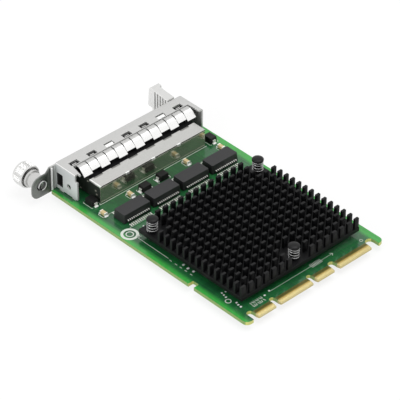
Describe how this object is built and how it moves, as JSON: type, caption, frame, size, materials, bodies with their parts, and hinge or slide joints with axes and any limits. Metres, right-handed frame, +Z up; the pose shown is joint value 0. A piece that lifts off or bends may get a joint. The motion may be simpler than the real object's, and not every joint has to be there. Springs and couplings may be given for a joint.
{
  "type": "mezzanine network card",
  "caption": "Small server network card: board with a stepped gold card edge, jack block behind a folded faceplate, pin-fin heat sink, pull tab and captive thumbscrew.",
  "frame": {"origin": "middle of the card's footprint, at its lowest point, on which it rests", "axes": "+Z up from the board's component side, +Y along the board towards its card edge, +X towards the thumbscrew"},
  "size_m": [0.0856, 0.1284, 0.0173],
  "materials": {
    "solder_mask": "glossy green solder mask over glass laminate, gold lands at the card edge",
    "plated_steel": "satin zinc plating",
    "spring_steel": "bright spring steel",
    "tinned_steel": "bright tinned sheet",
    "nickel": "bright nickel plating",
    "black_plastic": "moulded, satin",
    "epoxy": "moulded epoxy, fine matt, tinned leads",
    "anodised_aluminium": "black anodised, satin",
    "pad_grey": "soft matt pad",
    "grey_plastic": "moulded, satin",
    "tan_ceramic": "fired ceramic with tinned ends",
    "green_lens": "clear tinted light pipe",
    "amber_lens": "clear tinted light pipe"
  },
  "bodies": {
    "card": {"circuit_board": "solder_mask", "faceplate_bracket": "plated_steel", "finger_strip": "spring_steel", "jack_housing": "black_plastic", "jack_shield": "tinned_steel", "port_insert_1": "black_plastic", "port_insert_2": "black_plastic", "port_insert_3": "black_plastic", "port_insert_4": "black_plastic", "link_light_1": "green_lens", "link_light_2": "green_lens", "link_light_3": "green_lens", "link_light_4": "green_lens", "activity_light_1": "amber_lens", "activity_light_2": "amber_lens", "activity_light_3": "amber_lens", "activity_light_4": "amber_lens", "line_transformer_1": "epoxy", "line_transformer_2": "epoxy", "line_transformer_3": "epoxy", "line_transformer_4": "epoxy", "heat_sink": "anodised_aluminium", "controller_chip": "epoxy", "thermal_pad": "pad_grey", "push_pin_1": "black_plastic", "push_pin_2": "black_plastic", "push_pin_3": "black_plastic", "push_pin_spring_1": "spring_steel", "push_pin_spring_2": "spring_steel", "push_pin_spring_3": "spring_steel", "thumbscrew_ferrule": "nickel", "pull_tab": "grey_plastic", "ceramic_capacitor_1": "tan_ceramic", "ceramic_capacitor_2": "tan_ceramic", "ceramic_capacitor_3": "tan_ceramic", "ceramic_capacitor_4": "tan_ceramic", "surge_diode_1": "epoxy", "surge_diode_2": "epoxy", "surge_diode_3": "epoxy", "surge_diode_4": "epoxy"},
    "screw_carriage": {"retaining_ring": "spring_steel"},
    "screw": {"thumbscrew": "nickel"}
  },
  "joints": [
    {"name": "screw_travel", "type": "slide", "parent": "card", "child": "screw_carriage", "axis": [0, 1, 0], "range_m": [0, 0.0038]},
    {"name": "screw_turn", "type": "hinge", "parent": "screw_carriage", "child": "screw", "pos_m": [0.03755, -0.0508, 0.0087], "axis": [0, 1, 0], "continuous": true}
  ]
}
